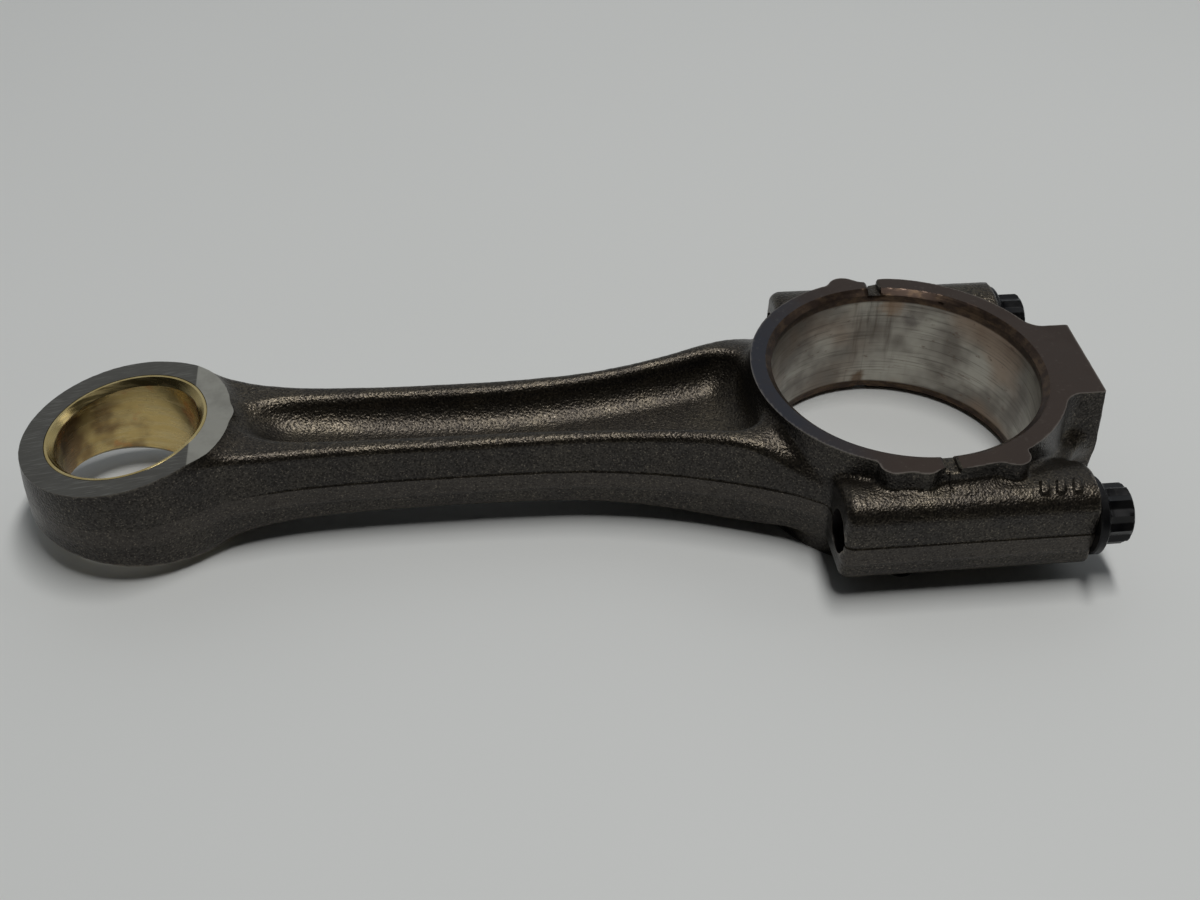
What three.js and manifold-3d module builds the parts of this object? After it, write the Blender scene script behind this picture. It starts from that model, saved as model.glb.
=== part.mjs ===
// Connecting rod of a small diesel engine, lying on its side.
// A forged steel rod with a bronze pin bush, a fracture-split cap and two 12-point cap bolts.
// Millimetres, +Z up along the crank axis, +X from the small end to the cap.
// Written with the piston pin's axis at x = 0, then centred in X; z = 0 is the big end's lower face.

import * as THREE from 'three';
import { mergeVertices } from 'three/addons/utils/BufferGeometryUtils.js';
import Module from 'manifold-3d';

const wasm = await Module();
wasm.setup();

// ---- driving dimensions -------------------------------------------------------------------

const centreDistance = 144;          // piston pin axis to crankpin axis
const bigEndWidth = 24.8;            // along the crank axis
const midPlane = bigEndWidth / 2;    // the forging's parting plane
const draft = 0.8;                   // how far the forged walls swell at the parting plane

const bigBoreRadius = 25.3;          // housing bore, 50.6 across
const boreChamfer = 1.2;
const boreChamferDepth = 1.0;
const rodRingRadius = 29.4;
const capRingRadius = 29.7;
const jointGap = 0.1;                // across the fractured joint

const smallEndRadius = 18.5;         // at the machined faces
const smallEndHalfThickness = 10.3;
const taperStart = 12.1;             // the side faces slope from here to the tip
const taperAngle = 8.9;              // degrees
const bushSeatRadius = 14.8;
const bushOuterRadius = 14.65;
const pinBoreRadius = 13;            // 26 mm piston pin
const bushChamfer = 1.1;

const webHalfThickness = 3.7;
const pocketWallSlope = 1.6;
const edgeRound = 0.9;

const boltAxis = 30.4;               // offset of each bolt from the rod's centre line
const boltHoleRadius = 4.0;
const boltShankRadius = 3.7;
const boltTip = 128.5;
const boltSeat = 170.6;
const bossStart = 125.1;
const bossOuterFace = 35.6;
const bossInnerFace = 18;
const bossHalfHeight = 8.5;
const bossCorner = 4;

const flangeRadius = 7.15;
const flangeRim = 1.7;
const flangeHeight = 2.5;
const headRadius = 5.55;
const headValley = 4.95;
const headHeight = 7.3;              // seat to the end of the head
const headDimpleRadius = 2.6;
const headDimpleDepth = 0.7;

const padHalfWidth = 10.8;
const padEnd = 179.2;
const padSwell = 1.0;
const padRoot = 160;

const notchStart = 143.2;
const notchEnd = 145.9;
const notchDepth = 1.2;
const notchInner = 20;

const roundSegments = 72;
const boltSegments = 36;
const smallEndTip = smallEndRadius + draft;
const centreX = (padEnd + padSwell - smallEndTip) / 2;

// ---- from geometry to solid and back ------------------------------------------------------

function solidOf(geometry) {
  geometry.deleteAttribute('normal');
  geometry.deleteAttribute('uv');
  const merged = mergeVertices(geometry, 1e-5);
  return new wasm.Manifold(new wasm.Mesh({
    numProp: 3,
    vertProperties: new Float32Array(merged.attributes.position.array),
    triVerts: new Uint32Array(merged.index.array),
  }));
}

function geometryOf(solid) {
  const mesh = solid.getMesh();
  const geometry = new THREE.BufferGeometry();
  geometry.setAttribute('position', new THREE.BufferAttribute(mesh.vertProperties, 3));
  geometry.setIndex(new THREE.BufferAttribute(mesh.triVerts, 1));
  geometry.computeVertexNormals();
  return geometry;
}

// ---- ways of sweeping an outline ----------------------------------------------------------

function shapeOf(points) {
  return new THREE.Shape(points.map(([a, b]) => new THREE.Vector2(a, b)));
}

// an outline in the XY plane, raised along Z
function raised(points, low, high) {
  const options = { depth: high - low, bevelEnabled: false };
  return solidOf(new THREE.ExtrudeGeometry(shapeOf(points), options).translate(0, 0, low));
}

// an outline in the XZ plane, swept across Y
function sweptAcross(points, low, high) {
  const options = { depth: high - low, bevelEnabled: false };
  const geometry = new THREE.ExtrudeGeometry(shapeOf(points), options);
  return solidOf(geometry.rotateX(Math.PI / 2).translate(0, high, 0));
}

// an outline in the YZ plane, swept along X
function sweptAlong(points, low, high) {
  const options = { depth: high - low, bevelEnabled: false };
  const toX = new THREE.Matrix4().makeBasis(
    new THREE.Vector3(0, 1, 0),
    new THREE.Vector3(0, 0, 1),
    new THREE.Vector3(1, 0, 0),
  );
  const geometry = new THREE.ExtrudeGeometry(shapeOf(points), options);
  return solidOf(geometry.applyMatrix4(toX).translate(low, 0, 0));
}

// a profile of [radius, height] pairs turned about a vertical axis at x
function turned(profile, x, segments) {
  const points = profile.map(([r, z]) => new THREE.Vector2(r, z));
  return solidOf(new THREE.LatheGeometry(points, segments).rotateX(Math.PI / 2).translate(x, 0, 0));
}

// the same, turned about a bolt's axis: the heights run along +X
function turnedAlong(profile, y, segments) {
  const points = profile.map(([r, x]) => new THREE.Vector2(r, x));
  const geometry = new THREE.LatheGeometry(points, segments).rotateZ(-Math.PI / 2);
  return solidOf(geometry.translate(0, y, midPlane));
}

// a smooth line through a few points
function smooth(points, count) {
  const curve = new THREE.SplineCurve(points.map(([a, b]) => new THREE.Vector2(a, b)));
  return curve.getPoints(count).map((p) => [p.x, p.y]);
}

// one side of an outline and its reflection in the line b = middle
function bothSides(points, middle) {
  const far = points.map(([a, b]) => [a, 2 * middle - b]).reverse();
  return [...points, ...far].reverse();
}

function flipped(solid) {
  // the lower face carries the same lugs as the upper one, turned over about the rod's length
  return solid.rotate([180, 0, 0]).translate([0, 0, bigEndWidth]);
}

// ---- shared cutters -----------------------------------------------------------------------

const crankBore = turned([
  [0, -1],
  [bigBoreRadius + 2 * boreChamfer, -boreChamferDepth],
  [bigBoreRadius, boreChamferDepth],
  [bigBoreRadius, bigEndWidth - boreChamferDepth],
  [bigBoreRadius + 2 * boreChamfer, bigEndWidth + boreChamferDepth],
  [0, bigEndWidth + 1],
], centreDistance, roundSegments);

function boltHole(y) {
  return turnedAlong([
    [0, bossStart - 5],
    [boltHoleRadius, bossStart - 5],
    [boltHoleRadius, padEnd],
    [0, padEnd],
  ], y, boltSegments);
}

function jointNotch(side) {
  const low = side > 0 ? notchInner : -40;
  const outline = [
    [notchStart, bigEndWidth - notchDepth],
    [notchEnd, bigEndWidth - notchDepth],
    [notchEnd, bigEndWidth + 1],
    [notchStart, bigEndWidth + 1],
  ];
  const upper = sweptAcross(outline, low, low + 40 - notchInner);
  return upper.add(flipped(upper));
}

// wedges that slope the small end's faces down to its tip
function taperWedge() {
  const length = taperStart + smallEndTip + 4;
  const drop = length * Math.tan(THREE.MathUtils.degToRad(taperAngle));
  const top = midPlane + smallEndHalfThickness;
  const upper = sweptAcross([
    [taperStart, top],
    [taperStart, top + 6],
    [taperStart - length, top + 6],
    [taperStart - length, top - drop],
  ].reverse(), -smallEndTip - 2, smallEndTip + 2);
  return upper.add(flipped(upper));
}

// ---- shared bodies ------------------------------------------------------------------------

// a ring's outside: the forged wall swells by the draft at the parting plane
function ringBlank(radius) {
  return turned([
    [0, 0],
    [radius, 0],
    [radius + draft, midPlane],
    [radius, bigEndWidth],
    [0, bigEndWidth],
  ], centreDistance, roundSegments);
}

// a bolt boss on one side: a bar with two rounded outer corners
function boltBoss(side, start, end) {
  const corner = [];
  const steps = 4;
  for (let i = 0; i <= steps; i += 1) {
    const angle = (i / steps) * Math.PI / 2;
    corner.push([
      bossOuterFace - bossCorner + bossCorner * Math.sin(angle),
      bossHalfHeight - bossCorner + bossCorner * Math.cos(angle),
    ]);
  }
  const upper = [[bossInnerFace, bossHalfHeight], ...corner];
  const lower = upper.map(([y, z]) => [y, -z]).reverse();
  const section = [...upper, ...lower].map(([y, z]) => [side * y, midPlane + z]);
  return sweptAlong(side > 0 ? section.reverse() : section, start, end);
}

const rodSide = raised([[-60, -60], [centreDistance - jointGap / 2, -60],
  [centreDistance - jointGap / 2, 60], [-60, 60]], -10, 40);

const capSide = raised([[centreDistance + jointGap / 2, -60], [240, -60],
  [240, 60], [centreDistance + jointGap / 2, 60]], -10, 40);

// ---- rod forging --------------------------------------------------------------------------

function smallEndBlank() {
  const low = midPlane - smallEndHalfThickness;
  const high = midPlane + smallEndHalfThickness;
  return turned([
    [0, low],
    [smallEndRadius - 0.3, low],
    [smallEndRadius + 0.4, low + edgeRound],
    [smallEndTip, midPlane],
    [smallEndRadius + 0.4, high - edgeRound],
    [smallEndRadius - 0.3, high],
    [0, high],
  ], 0, roundSegments);
}

// the I-section beam: its plan outline met by its side view
function shankBlank() {
  const plan = smooth([[4, 14], [11, 15.9], [15, 14], [20.5, 12.3], [28, 10.9], [40, 10.1], [57, 9.9],
    [75, 10.1], [83, 10.5], [90, 11.4], [98, 12.9], [105, 14.7], [112, 17], [118, 19.2],
    [126, 22.4], [135, 26]], 30);
  const side = smooth([[4, 9.6], [12, 9.2], [20, 8.1], [30, 7.5], [42, 7.3], [75, 7.3], [90, 7.9],
    [100, 8.6], [108, 9.2], [116, 9.4], [135, 9.4]], 18);
  const sideOutline = bothSides(side.map(([x, z]) => [x, midPlane + z]), midPlane);
  return raised(bothSides(plan, 0), 0, bigEndWidth)
    .intersect(sweptAcross(sideOutline, -40, 40));
}

// the pocket in each face of the beam, with a rounded floor edge
function pocket() {
  const depth = bigEndWidth;
  const half = smooth([[22.5, 0.2], [23.4, 2.6], [27, 3.9], [34, 4.3], [50, 4.4], [67, 4.6], [85, 5.8],
    [98, 7.7], [108, 9.7], [114, 10.6], [118, 10.8]], 24);
  const geometry = new THREE.ExtrudeGeometry(shapeOf(bothSides(half, 0)), {
    depth,
    bevelEnabled: true,
    bevelThickness: 3.4,
    bevelSize: pocketWallSlope,
    bevelSegments: 3,
  });
  const upper = solidOf(geometry.translate(0, 0, midPlane + webHalfThickness + 3.4));
  return upper.add(flipped(upper));
}

// the wide lug beside the joint on one side, and the narrow lobe on the other
function rodLugs() {
  const wide = raised([[130.6, -24], [143.2, -24], [143.2, -28.5], [141.6, -30.4], [139.5, -31.2],
    [136.5, -30.4], [134.3, -30.7], [132.6, -30.2], [131.6, -27.8]].reverse(), midPlane, bigEndWidth);
  const lobe = turned([[0, midPlane], [3.1, midPlane], [2.9, bigEndWidth], [0, bigEndWidth]],
    139.2, 24).translate([0, 27.6, 0]);
  const upper = wide.add(lobe);
  return upper.add(flipped(upper));
}

function rodForging() {
  const bushSeat = turned([[0, -1], [bushSeatRadius, -1], [bushSeatRadius, bigEndWidth + 1],
    [0, bigEndWidth + 1]], 0, roundSegments);
  return shankBlank()
    .subtract(pocket())
    .add(smallEndBlank())
    .add(ringBlank(rodRingRadius))
    .add(boltBoss(1, bossStart, centreDistance + 1))
    .add(boltBoss(-1, bossStart, centreDistance + 1))
    .add(rodLugs())
    .subtract(crankBore)
    .subtract(boltHole(boltAxis))
    .subtract(boltHole(-boltAxis))
    .subtract(jointNotch(1))
    .subtract(jointNotch(-1))
    .subtract(taperWedge())
    .subtract(bushSeat)
    .intersect(rodSide);
}

// ---- bearing cap --------------------------------------------------------------------------

function capShoulder() {
  const half = [[150, 16], [boltSeat, 30], ...smooth([[boltSeat, 23], [171.2, 19.5], [173, 15.6],
    [176, 12.2], [178.6, 10.9]], 10), [178.6, 6]];
  return raised(bothSides(half, 0), midPlane - bossHalfHeight, midPlane + bossHalfHeight);
}

function balancePad() {
  return sweptAcross([
    [padRoot, 0],
    [padEnd, 0],
    [padEnd + padSwell, midPlane],
    [padEnd, bigEndWidth],
    [padRoot, bigEndWidth],
  ], -padHalfWidth, padHalfWidth);
}

function capLug() {
  const upper = raised([[144, -22], [144, -28.9], [152.5, -28.6], [154.6, -28.5], [157.4, -29.8],
    [158.9, -28.8], [159.8, -25.8], [158, -22]], midPlane, bigEndWidth);
  return upper.add(flipped(upper));
}

function bearingCap() {
  return ringBlank(capRingRadius)
    .add(capShoulder())
    .add(balancePad())
    .add(capLug())
    .add(boltBoss(1, centreDistance - 1, boltSeat))
    .add(boltBoss(-1, centreDistance - 1, boltSeat))
    .subtract(crankBore)
    .subtract(boltHole(boltAxis))
    .subtract(boltHole(-boltAxis))
    .subtract(jointNotch(1))
    .subtract(jointNotch(-1))
    .intersect(capSide);
}

// ---- bush and bolts -----------------------------------------------------------------------

// a plain bronze tube, its ends machined to the small end's sloping faces
function smallEndBush() {
  const low = midPlane - smallEndHalfThickness;
  const high = midPlane + smallEndHalfThickness;
  const tube = turned([[0, low], [bushOuterRadius, low], [bushOuterRadius, high], [0, high]],
    0, roundSegments).subtract(taperWedge());
  const slope = Math.tan(THREE.MathUtils.degToRad(taperAngle));
  const cone = turned([[0, -8], [pinBoreRadius - 2, -2], [pinBoreRadius + 2, 2], [0, 2]],
    0, roundSegments);
  // the chamfer follows the sloping face
  const chamfer = cone.transform([
    1, 0, slope, 0,
    0, 1, 0, 0,
    0, 0, 1, 0,
    0, 0, high - slope * taperStart - bushChamfer, 1,
  ]);
  const bore = turned([[0, -1], [pinBoreRadius, -1], [pinBoreRadius, bigEndWidth + 1],
    [0, bigEndWidth + 1]], 0, roundSegments);
  return tube.subtract(bore).subtract(chamfer).subtract(flipped(chamfer));
}

function capBolt(y) {
  const seat = boltSeat + jointGap;
  const top = boltSeat + headHeight;
  const shank = turnedAlong([
    [0, boltTip],
    [boltShankRadius - 0.8, boltTip],
    [boltShankRadius, boltTip + 0.8],
    [boltShankRadius, seat + 0.2],
    [0, seat + 0.2],
  ], y, boltSegments);
  const flange = turnedAlong([
    [0, seat],
    [flangeRadius, seat],
    [flangeRadius, seat + flangeRim],
    [headRadius, seat + flangeHeight],
    [headValley, seat + flangeHeight + 0.3],
    [0, seat + flangeHeight + 0.3],
  ], y, boltSegments);
  const star = [];
  const corners = 12;
  for (let i = 0; i < 2 * corners; i += 1) {
    const angle = (i / (2 * corners)) * 2 * Math.PI;
    const radius = i % 2 ? headValley : headRadius;
    star.push([y + radius * Math.cos(angle), midPlane + radius * Math.sin(angle)]);
  }
  const dimple = turnedAlong([
    [0, top - headDimpleDepth],
    [headDimpleRadius - 0.4, top - headDimpleDepth],
    [headDimpleRadius, top + 1],
    [0, top + 1],
  ], y, boltSegments);
  return shank
    .add(flange)
    .add(sweptAlong(star, seat + 1, top))
    .subtract(dimple);
}

// ---- the assembly -------------------------------------------------------------------------

function piece(name, solid, colour, roughness, metalness) {
  const material = new THREE.MeshStandardMaterial({ color: colour, roughness, metalness });
  const mesh = new THREE.Mesh(geometryOf(solid), material);
  mesh.name = name;
  return mesh;
}

const group = new THREE.Group();
group.add(piece('rod_forging', rodForging(), 0x35302b, 0.5, 0.9));
group.add(piece('bearing_cap', bearingCap(), 0x3a322c, 0.5, 0.9));
group.add(piece('small_end_bush', smallEndBush(), 0x9a7c3c, 0.35, 1));
group.add(piece('cap_bolt_near', capBolt(-boltAxis), 0x1b1b1d, 0.4, 0.8));
group.add(piece('cap_bolt_far', capBolt(boltAxis), 0x1b1b1d, 0.4, 0.8));
group.position.x = -centreX;

export default group;
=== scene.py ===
import math
import bpy
import numpy as np
from mathutils import Matrix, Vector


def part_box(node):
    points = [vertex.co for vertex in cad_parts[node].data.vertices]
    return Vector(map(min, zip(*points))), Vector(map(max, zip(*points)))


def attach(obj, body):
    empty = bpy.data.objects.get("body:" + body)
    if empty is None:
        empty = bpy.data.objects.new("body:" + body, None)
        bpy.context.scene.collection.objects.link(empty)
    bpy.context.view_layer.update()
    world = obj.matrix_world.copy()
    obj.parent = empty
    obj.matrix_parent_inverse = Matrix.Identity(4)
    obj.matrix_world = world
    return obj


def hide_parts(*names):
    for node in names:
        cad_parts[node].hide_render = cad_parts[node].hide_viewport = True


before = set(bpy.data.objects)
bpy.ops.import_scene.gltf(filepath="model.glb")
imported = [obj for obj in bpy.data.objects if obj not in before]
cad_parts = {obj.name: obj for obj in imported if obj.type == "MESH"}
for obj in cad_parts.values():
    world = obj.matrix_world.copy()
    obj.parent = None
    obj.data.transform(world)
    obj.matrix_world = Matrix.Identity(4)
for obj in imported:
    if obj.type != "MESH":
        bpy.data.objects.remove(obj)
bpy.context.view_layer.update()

# ======================================================================== rod forging
# The rod is one steel drop forging: small end, I-section beam and the upper half of the big end.
# Its skin keeps the dies' draft, fillets and grain; the end faces and bores are machined after.
# Lengths here are millimetres: u runs from the piston pin to the crankpin, w up from mid-plane.

MM = 0.001
bush_low, bush_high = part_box("small_end_bush")
rod_low, rod_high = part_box("rod_forging")
PIN_X = (bush_low[0] + bush_high[0]) / 2 / MM
BIG_END_WIDTH = (rod_high[2] - rod_low[2]) / MM
HALF_WIDTH = BIG_END_WIDTH / 2
CENTRES = 144.0
BORE_R = 25.3
BORE_CHAMFER = 1.2
SWELL = 0.60                  # the forged walls' swelling at the parting plane
ROD_RING_R = 29.4
SMALL_END_R = 18.5
SMALL_END_HALF = 10.3
SMALL_END_REACH = 26          # where the small end's faces have run out into the beam
TAPER_START = 12.1
TAPER_SLOPE = math.tan(math.radians(8.9))
BUSH_SEAT_R = 14.69
BOLT_V = 30.4
BOLT_HOLE_R = 4.0
BOSS_START = 125.1
BOSS_OUT = 35.6
BOSS_HALF = 8.5
WEB_HALF = 2.7
BEAM_SHIFT = 0.3              # how far the dies set the beam to the far side
LOWER_DEEPER = 0.5            # how much deeper the lower die is than the upper one
UPPER_EDGE_R = 1.5
LOWER_EDGE_R = 0.9
WALL_DRAFT = 0.09
POCKET_DRAFT = 0.2
POCKET_RIM_R = 1.4
POCKET_FILLET_R = 4.6
POCKET_RAMP_R = 7.0
POCKET_END = 114.6
SMALL_END_FILLET = 3.2
RING_FILLET = 2.2
BOSS_FILLET = 1.3
LUG_FILLET = 0.8
BARREL = 0.75                 # how much further the small end's wall stands out at mid-height
JOINT_HALF_GAP = 0.012
NOTCH = (143.3, 145.6, 1.05)  # start, end and depth of the groove over the joint
NOTCH_INNER = 22              # its inner end, from the rod's axis
BEAM_WIDTH = [(-5, 14.3), (4, 14.9), (9, 15.2), (15, 13.9), (20.5, 12.5), (28, 11.2), (40, 10.4),
              (57, 10.2), (75, 10.4), (83, 10.8), (90, 11.7), (98, 13.2), (105, 15.1), (112, 17.5),
              (118, 19.9), (126, 23.3), (135, 27.3)]
BEAM_HEIGHT = [(-5, 9.4), (12, 9.3), (17, 9.0), (22, 8.2), (30, 7.6), (42, 7.3), (75, 7.3), (90, 7.9),
               (100, 8.7), (108, 9.3), (116, 9.5), (135, 9.5)]
POCKET_WIDTH = [(20, 3.2), (24, 4.2), (29, 4.8), (36, 5), (50, 5.1), (67, 5.2), (85, 6.4), (98, 8.3),
                (108, 10.2), (114, 11.2), (125, 12.3)]
POCKET_FLOOR = [(15, 9.9), (19, 8.6), (22.5, 6.4), (26, 4.4), (30, 3.2), (35, WEB_HALF),
                (125, WEB_HALF)]


def line_through(points, u):
    """A smooth line through listed points: a cubic between each pair, whose slope at a point is
    the mean slope of its neighbours."""
    x, y = np.array(points, dtype=float).T
    slope = np.gradient(y, x)
    k = np.clip(np.searchsorted(x, u) - 1, 0, len(x) - 2)
    run = x[k + 1] - x[k]
    t = np.clip((u - x[k]) / run, 0, 1)
    start = (2 * t**3 - 3 * t**2 + 1) * y[k] + (t**3 - 2 * t**2 + t) * run * slope[k]
    return start + (3 * t**2 - 2 * t**3) * y[k + 1] + (t**3 - t**2) * run * slope[k + 1]


def corner(a, b, r):
    """What lies inside both a and b, with the edge between them rounded to radius r."""
    over = np.hypot(np.maximum(a + r, 0), np.maximum(b + r, 0))
    return over + np.minimum(np.maximum(a, b) + r, 0) - r


def fillet(a, b, r):
    """What lies inside a or b, with a fillet of radius r where they meet."""
    return -corner(-a, -b, r)


def ease(low, high, value):
    """0 below low, 1 above high, and the cubic 3t^2 - 2t^3 between."""
    t = np.clip((value - low) / (high - low), 0, 1)
    return t * t * (3 - 2 * t)


def beam(u, v, w):
    """The I-section: plan outline and side view with rounded edges, and a scooped pocket each side."""
    out, up = np.abs(v - BEAM_SHIFT), np.abs(w)
    lower = w < 0
    step = 0.2
    lean = (line_through(BEAM_WIDTH, u + step) - line_through(BEAM_WIDTH, u - step)) / (2 * step)
    wall = (out + WALL_DRAFT * up - line_through(BEAM_WIDTH, u)) / np.sqrt(1 + lean**2)
    # towards the bolt bosses the shoulder falls away to the outer edge
    fall = np.where(lower, 1.6, 5.4) * ease(12.5, 23.5, out) * ease(104, 123, u)
    top = up + fall - line_through(BEAM_HEIGHT, u) - np.where(lower, LOWER_DEEPER, 0)
    body = corner(wall, top, np.where(lower, LOWER_EDGE_R, UPPER_EDGE_R))
    draft = POCKET_DRAFT * (up - WEB_HALF)
    pocket_wall = out - line_through(POCKET_WIDTH, u) - draft
    end_wall = u - POCKET_END + 0.017 * v**2 - draft
    sweep = corner(end_wall, line_through(POCKET_FLOOR, u) - up, POCKET_RAMP_R)
    pocket = corner(sweep, pocket_wall, POCKET_FILLET_R)
    body = corner(body, -pocket, POCKET_RIM_R)
    return np.maximum(body, np.maximum(-u - 2, u - 134))


def round_wall(u, v, w, radius, half):
    """An upright forged cylinder wall that swells towards the parting plane."""
    return np.hypot(u, v) - radius - SWELL * (1 - np.abs(w) / half)


def boss(u, v, w, start, end, end_round):
    """A bolt boss on each side: a bar along u with rounded edges, its inside buried in the ring."""
    out, up = np.abs(v), np.abs(w)
    crown = np.where(w < 0, 0.03 * (out - 26), 0.05 * (out - 29.5) ** 2 - 0.1)
    section = corner(out + 0.04 * up - BOSS_OUT, up - BOSS_HALF + crown, 2.4)
    bar = corner(section, start - u, end_round[0])
    return corner(bar, u - end, end_round[1])


def skin(u, v, w):
    """What the forging's skin stands proud: the trimmed flash, a flat band below a fine groove at the
    parting line, which runs out on the small end and the pad, and the long waves of worn dies."""
    band = 0.13 * ease(-4.3, -3.5, w) * (1 - ease(-0.12, 0.12, w))
    groove = 0.10 * np.exp(-((w - 0.3) / 0.22) ** 2)
    shown = ease(14, 34, u) * (1 - ease(170.8, 172.5, u))
    waves = (np.sin(0.9 * u + 0.4 * v + 1) * np.sin(0.8 * v - 0.5 * w)
             + np.sin(1.9 * u - 0.8 * w + 2) * np.sin(1.7 * v + 0.6 * u + 1.5 * w)
             + np.sin(2.9 * u + 2.2 * w) * np.sin(2.6 * v - 1.2 * u + 2.4 * w + 3))
    return shown * (band - groove) + 0.012 * waves


def machined(part, u, v, w):
    """Cuts shared by rod and cap: end faces, crankpin bore with its chamfers, bolt holes and notch."""
    up = np.abs(w)
    r = np.hypot(u - CENTRES, v)
    part = np.maximum(part, up - HALF_WIDTH)
    part = np.maximum(part, BORE_R - r)
    chamfer = BORE_R + BORE_CHAMFER * (up - HALF_WIDTH + 1) - r
    part = np.maximum(part, chamfer / math.hypot(1, BORE_CHAMFER))
    part = np.maximum(part, BOLT_HOLE_R - np.hypot(np.abs(v) - BOLT_V, w))
    start, end, depth = NOTCH
    groove = np.maximum(np.maximum(start - u, u - end), HALF_WIDTH - depth - up)
    return corner(part, -np.maximum(groove, NOTCH_INNER - np.abs(v)), 0.5)


def joint_dip(u, turned):
    """The ring is a little hollow outside the joint, on the side without the wide lug."""
    return 0.75 * np.exp(-((u - 143.8) / 2.4) ** 2) * ease(5, 15, turned)


def rod_blank(u, v, w):
    """The forging: beam, small end, ring, bolt bosses and the lugs beside the joint, all filleted."""
    up = np.abs(w)
    turned = v * np.where(w < 0, -1.0, 1.0)
    # the small end is barrel-shaped, and fuller below the parting plane than above it
    barrel = 1 - np.where(w < 0, 0.35, 1.0) * (w / SMALL_END_HALF) ** 2
    eye = np.hypot(u, v) - SMALL_END_R - BARREL * barrel
    nose = 0.9 * np.exp(-((v / 2.4) ** 2)) * ease(10, 16, u)
    blank = fillet(beam(u, v, w), eye - nose, SMALL_END_FILLET)
    ring = round_wall(u - CENTRES, v, w, ROD_RING_R, HALF_WIDTH) + joint_dip(u, turned)
    blank = fillet(blank, ring, RING_FILLET)
    blank = fillet(blank, boss(u, v, w, BOSS_START, 160, (2.0, 1)), BOSS_FILLET)
    wide = fillet(round_wall(u - 134.4, turned + 27.5, w, 2.7, HALF_WIDTH),
                  round_wall(u - 139.7, turned + 27.7, w, 3.0, HALF_WIDTH), 2.5)
    lobe = round_wall(u - 138.6, turned - 27.3, w, 3.2, HALF_WIDTH)
    blank = fillet(blank, np.minimum(wide, lobe), LUG_FILLET)
    return blank - skin(u, v, w)


def small_end_face(u):
    """Half thickness of the small end: flat beside the beam, then sloping down to the tip."""
    return SMALL_END_HALF - TAPER_SLOPE * np.maximum(TAPER_START - u, 0)


def rod_field(u, v, w):
    """The finished rod: below zero inside the steel."""
    part = rod_blank(u, v, w)
    face = np.abs(w) - np.where(u < SMALL_END_REACH, small_end_face(u), BIG_END_WIDTH)
    part = np.maximum(part, face)
    part = np.maximum(part, BUSH_SEAT_R - np.hypot(u, v))
    part = machined(part, u, v, w)
    return np.maximum(part, u - CENTRES + JOINT_HALF_GAP)


def surface_points(field, us, vs, ws):
    """One point per grid cell that the surface crosses, where the tangent planes at the cell's
    crossings meet by least squares, and one quad round each grid line that it crosses. stiffness
    holds a point near its crossings' middle where the surface is flat. keen is how far the
    crossings' normals disagree: 0 on smooth skin, above 0.1 on a sharp edge."""
    halvings, probe, stiffness = 12, 0.004, 0.03
    lines = (us, vs, ws)
    values = field(us[:, None, None], vs[None, :, None], ws[None, None, :])
    inside = values < 0
    cells = tuple(n - 1 for n in inside.shape)
    found = []
    for axis in range(3):
        after = (axis + 1) % 3
        last = (axis + 2) % 3
        step = np.zeros(3, dtype=int)
        step[axis] = 1
        near = np.argwhere(np.diff(inside, axis=axis))
        far = near + step
        a = np.stack([lines[i][near[:, i]] for i in range(3)], axis=1)
        b = np.stack([lines[i][far[:, i]] for i in range(3)], axis=1)
        start = inside[tuple(near.T)]
        low, high = np.where(start[:, None], a, b), np.where(start[:, None], b, a)
        for _ in range(halvings):
            middle = (low + high) / 2
            within = (field(*middle.T) < 0)[:, None]
            low, high = np.where(within, middle, low), np.where(within, high, middle)
        point = (low + high) / 2
        slope = [field(*(point + probe * e).T) - field(*(point - probe * e).T) for e in np.eye(3)]
        normal = np.stack(slope, axis=1)
        normal /= np.linalg.norm(normal, axis=1, keepdims=True) + 1e-12
        around = np.repeat(near[:, None, :], 4, axis=1)
        around[:, (0, 3), after] -= 1
        around[:, (0, 1), last] -= 1
        around[~start] = around[~start][:, ::-1]
        found.append((np.ravel_multi_index(tuple(np.moveaxis(around, 2, 0)), cells), point, normal))
    ring = np.concatenate([f[0] for f in found])
    point = np.concatenate([f[1] for f in found])
    normal = np.concatenate([f[2] for f in found])
    used, quads = np.unique(ring, return_inverse=True)
    quads = quads.reshape(-1, 4)
    flat = quads.ravel()
    count = np.bincount(flat)
    p4, n4 = np.repeat(point, 4, axis=0), np.repeat(normal, 4, axis=0)
    centre = np.stack([np.bincount(flat, p4[:, i]) / count for i in range(3)], axis=1)
    reach = (n4 * (p4 - centre[flat])).sum(axis=1)
    pull = np.stack([np.bincount(flat, n4[:, i] * reach) for i in range(3)], axis=1)
    square = np.empty((len(used), 3, 3))
    for i in range(3):
        for j in range(3):
            square[:, i, j] = np.bincount(flat, n4[:, i] * n4[:, j])
    keen = 1 - np.linalg.norm([np.bincount(flat, n4[:, i]) / count for i in range(3)], axis=0)
    square += stiffness * np.eye(3)
    place = centre + np.linalg.solve(square, pull[:, :, None])[:, :, 0]
    cell = np.stack(np.unravel_index(used, cells), axis=1)
    for i in range(3):
        place[:, i] = np.clip(place[:, i], lines[i][cell[:, i]], lines[i][cell[:, i] + 1])
    place[:, 2] = np.clip(place[:, 2], -HALF_WIDTH, HALF_WIDTH)
    return place, quads, point, normal, keen


def levels(low, high, step, fine=(), fine_step=0.2):
    """Grid lines from low to high, closer together inside the stretches named fine."""
    at, found = low, [low]
    while at < high:
        close = any(a <= at < b for a, b in fine)
        at += fine_step if close else step
        found.append(at)
    return np.array(found)


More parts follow.
